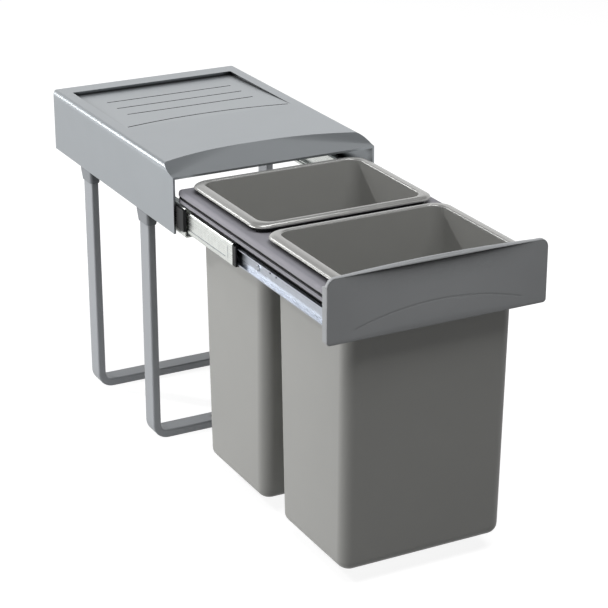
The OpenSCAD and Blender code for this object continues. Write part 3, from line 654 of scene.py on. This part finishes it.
@dataclass
class FrontPanel:
    """The drawer's front: a hollow-backed face with a crowned lip, a scoop under it and an engraved arc."""

    skin_mm: float = 3.0
    wall_mm: float = 2.5
    top_d_mm: float = 4.5
    top_run_mm: float = 2.0
    corner_mm: float = 10.0
    low_corner_mm: float = 4.0
    edge_mm: float = 1.2
    edge_turns: tuple[float, ...] = (22.5, 45.0, 67.5, 90.0)
    fine_mm: float = 0.4
    crown_rise_mm: float = 3.0
    crown_l_mm: float = 226.0
    lip_mm: float = 0.5
    brow_d_mm: float = 2.4
    brow_least_mm: float = 0.1
    brow_turn: float = 0.98
    brow_rows: int = 6
    scoop_d_mm: float = 2.4
    scoop_h_mm: float = 1.2
    scoop_l_mm: float = 224.0
    scoop_rows: int = 8
    arc_r_mm: float = 335.0
    arc_l_mm: float = 200.0
    arc_crown_mm: float = 27.0
    arc_w_mm: float = 2.6
    arc_depth_mm: float = 0.3
    arc_run_mm: float = 4.0
    arc_border_mm: float = 0.3
    boss_d_mm: float = 9.0
    screw_step_mm: float = 18.0
    columns: int = 128

    def __post_init__(self) -> None:
        """Takes the panel's place from its CAD node."""
        self.low, self.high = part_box("front_panel")
        self.half = (self.high.x - self.low.x) / 2
        self.top = self.high.z - self.crown_rise_mm * MM
        self.crease = self.top - self.lip_mm * MM
        self.lines = self.row_lines()

    def rise(self, x: float) -> float:
        """Finds the height of the crowned top edge above its ends.

        Args:
            x: Place across the panel.

        Returns:
            Height, 0 beyond the crown's ends.
        """
        half, rise = self.crown_l_mm * MM / 2, self.crown_rise_mm * MM
        radius = (half * half + rise * rise) / (2 * rise)
        return max(rise - radius + math.sqrt(radius * radius - x * x), 0.0)

    def round_off(self, x: float, corner: float, inset: float) -> float:
        """Finds how far a round corner takes the edge back.

        Args:
            x: Place across the panel.
            corner: Radius of the corner.
            inset: How far the outline is drawn in.

        Returns:
            Distance from the straight edge.
        """
        radius = corner - inset
        past = min(max(abs(x) - (self.half - corner), 0.0), radius)
        return radius - math.sqrt(max(radius ** 2 - past ** 2, 0.0))

    def outline(self, x: float, inset: float) -> tuple[float, float]:
        """Finds where the outline starts and ends.

        Args:
            x: Place across the panel, inside the drawn-in outline.
            inset: How far the outline is drawn in.

        Returns:
            Heights of the lower and the upper edge.
        """
        low = self.low.z + inset + self.round_off(x, self.low_corner_mm * MM, inset)
        top = self.top - inset + self.rise(x) - self.round_off(x, self.corner_mm * MM, inset)
        return low, top

    def rear(self, z: float) -> float:
        """Finds the depth of the returned edges: short at the top, full below the upper corners.

        Args:
            z: Height.

        Returns:
            Depth behind the face.
        """
        deep, short = self.high.y - self.low.y, self.top_d_mm * MM
        share = (z - (self.top - self.corner_mm * MM)) / (self.top_run_mm * MM)
        return deep + (short - deep) * min(max(share, 0.0), 1.0)

    def scoop(self, x: float, z: float) -> float:
        """Finds the depth of the scoop: a step under the lip, running out towards the lower edge.

        Args:
            x: Place across the panel.
            z: Height.

        Returns:
            Depth behind the face's front plane.
        """
        share = max(1 - (x / (self.scoop_l_mm * MM / 2)) ** 2, 0.0)
        step = self.scoop_h_mm * MM
        under = (self.crease - z) / step
        if under < 1:
            depth = 1 - (1 - max(under, 0.0)) ** 2
        else:
            up = min(max((z - self.low.z) / (self.crease - step - self.low.z), 0.0), 1.0)
            depth = up * up * (3 - 2 * up)
        return self.scoop_d_mm * MM * share * depth

    def brow(self, top: float, share: float) -> tuple[float, float]:
        """Finds a point of the rounded brow between lip and top edge.

        Args:
            top: Height of the top edge.
            share: Share of the way up the brow.

        Returns:
            Height and depth of the point.
        """
        span = max(top - self.crease, self.brow_least_mm * MM)
        depth = self.brow_d_mm * MM * min(span / (self.crown_rise_mm * MM), 1.0)
        return top - span * (1 - share), depth * (1 - math.sqrt(1 - share * share * self.brow_turn))

    def arc_z(self, x: float) -> float:
        """Finds the height of the engraved arc's middle, level beyond its ends.

        Args:
            x: Place across the panel.

        Returns:
            Height of the arc.
        """
        held = min(abs(x), self.arc_l_mm * MM / 2)
        radius = self.arc_r_mm * MM
        return self.low.z + self.arc_crown_mm * MM - radius + math.sqrt(radius ** 2 - held ** 2)

    def engraved(self, x: float) -> float:
        """Depth of the engraved arc at x, running out at its ends."""
        left = self.arc_l_mm * MM / 2 - abs(x)
        return self.arc_depth_mm * MM * min(max(left / (self.arc_run_mm * MM), 0.0), 1.0)

    @staticmethod
    def part_way(start: float, end: float, share: float) -> tuple[float, float]:
        """Height at a share of the way from start to end, with no depth of its own."""
        return start + share * (end - start), 0.0

    def row_lines(self) -> list[RowLine]:
        """Lists the lines that the rows of the face follow, from the lower edge up.

        Returns:
            One line for each row.
        """
        half_w = self.arc_w_mm * MM / 2
        beside = half_w + self.arc_border_mm * MM
        border = self.crease - self.scoop_h_mm * MM
        lines: list[RowLine] = [lambda x, low, top, t=t: self.part_way(low, self.arc_z(x) - beside, t)
                                for t in (0.0, 0.33, 0.67, 1.0)]
        lines += [lambda x, low, top: (self.arc_z(x) - half_w, 0.0),
                  lambda x, low, top: (self.arc_z(x), self.engraved(x)),
                  lambda x, low, top: (self.arc_z(x) + half_w, 0.0)]
        lines += [lambda x, low, top, t=t: self.part_way(self.arc_z(x) + beside, border, t)
                  for t in (0.0, 0.2, 0.4, 0.6, 0.8)]
        lines += [lambda x, low, top, t=t: self.part_way(border, self.crease, t / self.scoop_rows)
                  for t in range(self.scoop_rows + 1)]
        lines += [lambda x, low, top, t=t: self.brow(top, t / (self.brow_rows - 1))
                  for t in range(self.brow_rows)]
        return lines

    def settle(
        self,
        shape: bmesh.types.BMesh,
        verts: Iterable[bmesh.types.BMVert],
        inset: float,
        back: Callable[[float], float],
    ) -> None:
        """Moves vertices onto the face by their column and row.

        Args:
            shape: Mesh that holds columns and rows.
            verts: Vertices that move.
            inset: How far they are drawn in from the outline.
            back: How far they are set back, from their height.
        """
        across, row = shape.verts.layers.float["across"], shape.verts.layers.float["row"]
        lip_row = len(self.lines) - self.brow_rows
        for vert in verts:
            x = (self.half - inset) * math.sin(vert[across] * math.pi / 2)
            low, top = self.outline(x, inset)
            row_at = int(vert[row])
            z, depth = self.lines[row_at](x, low, top)
            z = min(max(z, low), top)
            depth += self.scoop(x, z) if row_at < lip_row else 0.0
            vert.co = (x, self.low.y + depth + back(z) * (1 - depth / self.rear(z)), z)

    def build(self, material: bpy.types.Material) -> bpy.types.Object:
        """Maps a grid onto the face, rolls its border back into the returns and closes the hollow back.

        Args:
            material: Finish of the panel.

        Returns:
            The new piece.
        """
        shape = bmesh.new()
        across = shape.verts.layers.float.new("across")
        row = shape.verts.layers.float.new("row")
        rows = len(self.lines) - 1
        bmesh.ops.create_grid(shape, x_segments=self.columns, y_segments=rows, size=1.0)
        for vert in shape.verts:
            vert[across] = vert.co.x
            vert[row] = round((vert.co.y + 1) / 2 * rows)
        edge, wall, fine, skin = self.edge_mm * MM, self.wall_mm * MM, self.fine_mm * MM, self.skin_mm * MM
        self.settle(shape, shape.verts, edge, lambda z: 0.0)
        angles = [math.radians(turn) for turn in self.edge_turns]
        rolls = [(edge * (1 - math.sin(a)), lambda z, a=a: edge * (1 - math.cos(a))) for a in angles]
        rolls += [(0.0, lambda z: self.rear(z) - fine), (fine, self.rear), (wall - fine, self.rear),
                  (wall, lambda z: self.rear(z) - fine), (wall, lambda z: skin)]
        border = [e for e in shape.edges if e.is_boundary]
        for inset, back in rolls:
            verts, border = extrude_border(shape, border)
            self.settle(shape, verts, inset, back)
        bmesh.ops.edgeloop_fill(shape, edges=border)
        bmesh.ops.recalc_face_normals(shape, faces=shape.faces)
        self.add_bosses(shape)
        return finish_piece(shape, "front_panel_face", Body.DRAWER, [material],
                            "front_panel", crease=40.0)

    def add_bosses(self, shape: bmesh.types.BMesh) -> None:
        """Adds the four screw bosses inside the hollow.

        Args:
            shape: The panel's mesh.
        """
        low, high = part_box("panel_screws")
        head_r = (high.z - low.z - self.screw_step_mm * MM) / 2
        reach = (high.x - low.x) / 2 - head_r
        start, end = self.low.y + self.skin_mm * MM, self.high.y
        radius = self.boss_d_mm * MM / 2
        turned = Matrix.Rotation(math.pi / 2, 4, "X")
        for x in (-reach, reach):
            for z in (low.z + head_r, high.z - head_r):
                place = Matrix.Translation((x, (start + end) / 2, z))
                bmesh.ops.create_cone(shape, cap_ends=True, segments=32, radius1=radius, radius2=radius,
                                      depth=end - start, matrix=place @ turned)


@dataclass(frozen=True)
class Lamp:
    """A soft box that points at the unit, with its place and size in metres and its power in watts."""

    name: str
    place: tuple[float, float, float]
    size: tuple[float, float]
    power: float
    mirrored: bool = True
    aim: tuple[float, float, float] = (0.0, -0.2, 0.2)

    def add(self) -> None:
        """Adds the lamp to the scene."""
        data = bpy.data.lights.new(self.name, "AREA")
        data.shape = "RECTANGLE"
        data.size, data.size_y = self.size
        data.energy = self.power
        lamp = bpy.data.objects.new(self.name, data)
        lamp.location = self.place
        lamp.visible_glossy = self.mirrored
        way = Vector(self.aim) - Vector(self.place)
        lamp.rotation_euler = way.to_track_quat("-Z", "Y").to_euler()
        bpy.context.scene.collection.objects.link(lamp)


LAMPS = (
    # Draws the bright lines along the cover's left edge and the rims
    Lamp("rear_left", (-1.2, 2.15, 1.4), (0.4, 0.9), 9.0),
    # Small, so that the bins' rear walls throw a clear shadow on their right walls. Not mirrored, because a
    # lamp of this size breaks into dashes on the thin rims
    Lamp("rear_small", (-1.3, 1.5, 1.65), (0.12, 0.12), 22.0, mirrored=False),
    # Broad and low: lights the left faces and doesn't reach into the bins
    Lamp("left", (-2.2, 0.6, 0.2), (2.0, 0.4), 42.0),
    # Lights the front faces and the inside of the bins
    Lamp("top_front", (-0.1, -1.0, 2.6), (2.2, 1.3), 58.0),
)


@dataclass
class Studio:
    """White floor and background, soft lamps, and the camera at the photograph's angle."""

    camera_at: tuple[float, float, float] = (-1.002, -2.159, 1.071)
    camera_aim: tuple[float, float, float] = (0.4316, 0.8221, -0.3714)
    sensor_mm: float = 36.0
    lens_mm: float = 120.38
    floor_r: float = 12.0
    floor_bounce: str = "#8c8c8c"
    floor_paper: str = "#969696"
    floor_glow: float = 0.88
    floor_mirror: float = 0.7
    ambient: float = 0.06
    mirror_low: float = 0.43
    mirror_high: float = 0.57
    mirror_top: float = 0.05

    def build(self) -> None:
        """Sets up camera, floor, world and lamps."""
        self.add_camera()
        self.add_floor()
        self.add_world()
        for lamp in LAMPS:
            lamp.add()
        bpy.context.scene.view_settings.view_transform = "Standard"

    def add_camera(self) -> None:
        """Adds the camera."""
        data = bpy.data.cameras.new("camera")
        data.sensor_width = self.sensor_mm
        data.lens = self.lens_mm
        camera = bpy.data.objects.new("camera", data)
        camera.location = self.camera_at
        camera.rotation_euler = Vector(self.camera_aim).to_track_quat("-Z", "Y").to_euler()
        bpy.context.scene.collection.objects.link(camera)
        bpy.context.scene.camera = camera

    def add_floor(self) -> None:
        """Adds the floor: white to the camera and to mirrors, and still carrying the unit's shadow."""
        shape = bmesh.new()
        bmesh.ops.create_circle(shape, cap_ends=True, segments=96, radius=self.floor_r)
        mesh = bpy.data.meshes.new("floor")
        shape.to_mesh(mesh)
        shape.free()
        floor = bpy.data.objects.new("floor", mesh)
        bpy.context.scene.collection.objects.link(floor)
        made, shader, _ = new_material("white_paper")
        tree = made.node_tree
        shader.inputs["Base Color"].default_value = linear(self.floor_bounce)
        shader.inputs["Roughness"].default_value = 0.9
        shader.inputs["Specular IOR Level"].default_value = 0.0
        path = add_node(tree, "ShaderNodeLightPath")
        mirrored = add_node(tree, "ShaderNodeMath", {"operation": "MAXIMUM"},
                            {0: path.outputs["Is Glossy Ray"], 1: path.outputs["Is Transmission Ray"]})
        glow = add_node(tree, "ShaderNodeEmission", {"Color": WHITE, "Strength": self.floor_glow})
        paper = add_node(tree, "ShaderNodeBsdfDiffuse", {"Color": linear(self.floor_paper)})
        white = add_node(tree, "ShaderNodeAddShader", None, {0: glow.outputs[0], 1: paper.outputs[0]})
        dim = add_node(tree, "ShaderNodeEmission", {"Color": WHITE, "Strength": self.floor_mirror})
        plain = add_node(tree, "ShaderNodeMixShader", None,
                         {0: mirrored.outputs[0], 1: shader.outputs[0], 2: dim.outputs[0]})
        both = add_node(tree, "ShaderNodeMixShader", None,
                        {0: path.outputs["Is Camera Ray"], 1: plain.outputs[0], 2: white.outputs[0]})
        tree.links.new(both.outputs[0], tree.nodes["Material Output"].inputs["Surface"])
        mesh.materials.append(made)

    def add_world(self) -> None:
        """Adds the world: white where it is seen or mirrored low down, and a weak fill elsewhere."""
        world = bpy.data.worlds.new("studio")
        bpy.context.scene.world = world
        world.use_nodes = True
        tree = world.node_tree
        ground = tree.nodes["Background"]
        place = add_node(tree, "ShaderNodeTexCoord")
        parts = add_node(tree, "ShaderNodeSeparateXYZ", None, {0: place.outputs["Generated"]})
        sky = add_node(tree, "ShaderNodeMapRange", {"From Min": self.mirror_low, "From Max": self.mirror_high,
                                                    "To Min": 1.0, "To Max": self.mirror_top,
                                                    "interpolation_type": "SMOOTHSTEP"},
                       {"Value": parts.outputs["Z"]})
        path = add_node(tree, "ShaderNodeLightPath")
        fill = add_node(tree, "ShaderNodeMix", {2: self.ambient},
                        {0: path.outputs["Is Glossy Ray"], 3: sky.outputs["Result"]})
        clear = add_node(tree, "ShaderNodeMath", {"operation": "MAXIMUM"},
                         {0: path.outputs["Is Camera Ray"], 1: path.outputs["Is Transmission Ray"]})
        level = add_node(tree, "ShaderNodeMix", {3: 1.0}, {0: clear.outputs[0], 2: fill.outputs[0]})
        ground.inputs["Color"].default_value = WHITE
        tree.links.new(level.outputs[0], ground.inputs["Strength"])


def both_sides(name: str) -> tuple[str, str]:
    """Names of the left and the right piece of a pair."""
    return f"left_{name}", f"right_{name}"


def dress_fixed_frame() -> None:
    """Dresses the cover, the legs and the brackets."""
    DressedNodes(("cover",)).dress(COVER_ABS.material())
    DressedNodes(("front_leg", "rear_leg")).dress(LEG_COAT.material())
    bracket = BRACKET_ABS.material()
    for end in ("front", "rear"):
        for name in both_sides("bracket"):
            SoftenedNode(f"{end}_{name}", Body.FIXED, "bracket_plastic", radius_mm=0.6).build(bracket)


def dress_slides() -> None:
    """Dresses the rails, cages, balls, stops and fasteners."""
    zinc, cage, stop = RAIL_ZINC.material(), CAGE_ZINC.material(), STOP_POM.material()
    DressedNodes((*both_sides("outer_rail"), "bracket_rivets", "panel_screws")).dress(zinc)
    for name in both_sides("middle_rail"):
        # The cages' duller zinc paints shade into the middle rails' pressed lines
        PressedRail(name, Body.MIDDLE, "zinc_steel", radius_mm=0.2, segments=2).build(zinc, cage)
    DressedNodes((*both_sides("inner_rail"), "inner_rail_rivets")).dress(INNER_ZINC.material())
    DressedNodes((*both_sides("outer_cage"), *both_sides("inner_cage"))).dress(cage)
    DressedNodes((*both_sides("outer_balls"), *both_sides("inner_balls"))).dress(BALL_STEEL.material())
    for name in both_sides("bumper"):
        SoftenedNode(name, Body.FIXED, "black_plastic", radius_mm=0.8).build(stop)
    for name in both_sides("middle_stop"):
        SoftenedNode(name, Body.MIDDLE, "black_plastic", radius_mm=0.4).build(stop)


def dress_drawer() -> None:
    """Builds the frame, the front panel and the bins."""
    bin_frame = BinFrame("bin_frame", Body.DRAWER, "frame_plastic", radius_mm=0.5)
    bin_frame.build(FRAME_ABS.material(), RECESS_PAINTED_SHADE.material())
    FrontPanel().build(PANEL_ABS.material())
    tub, rim = BIN_PP.material(), RIM_PP.material()
    BinTub("front_bin", Body.FRONT_BIN).build(tub, rim)
    BinTub("rear_bin", Body.REAR_BIN).build(tub, rim)


def main() -> None:
    """Builds the studio and dresses every piece of the unit."""
    logging.basicConfig(level=logging.INFO, format="%(message)s")
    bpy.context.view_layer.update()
    Studio().build()
    dress_fixed_frame()
    dress_slides()
    dress_drawer()


if __name__ == "__main__":
    main()
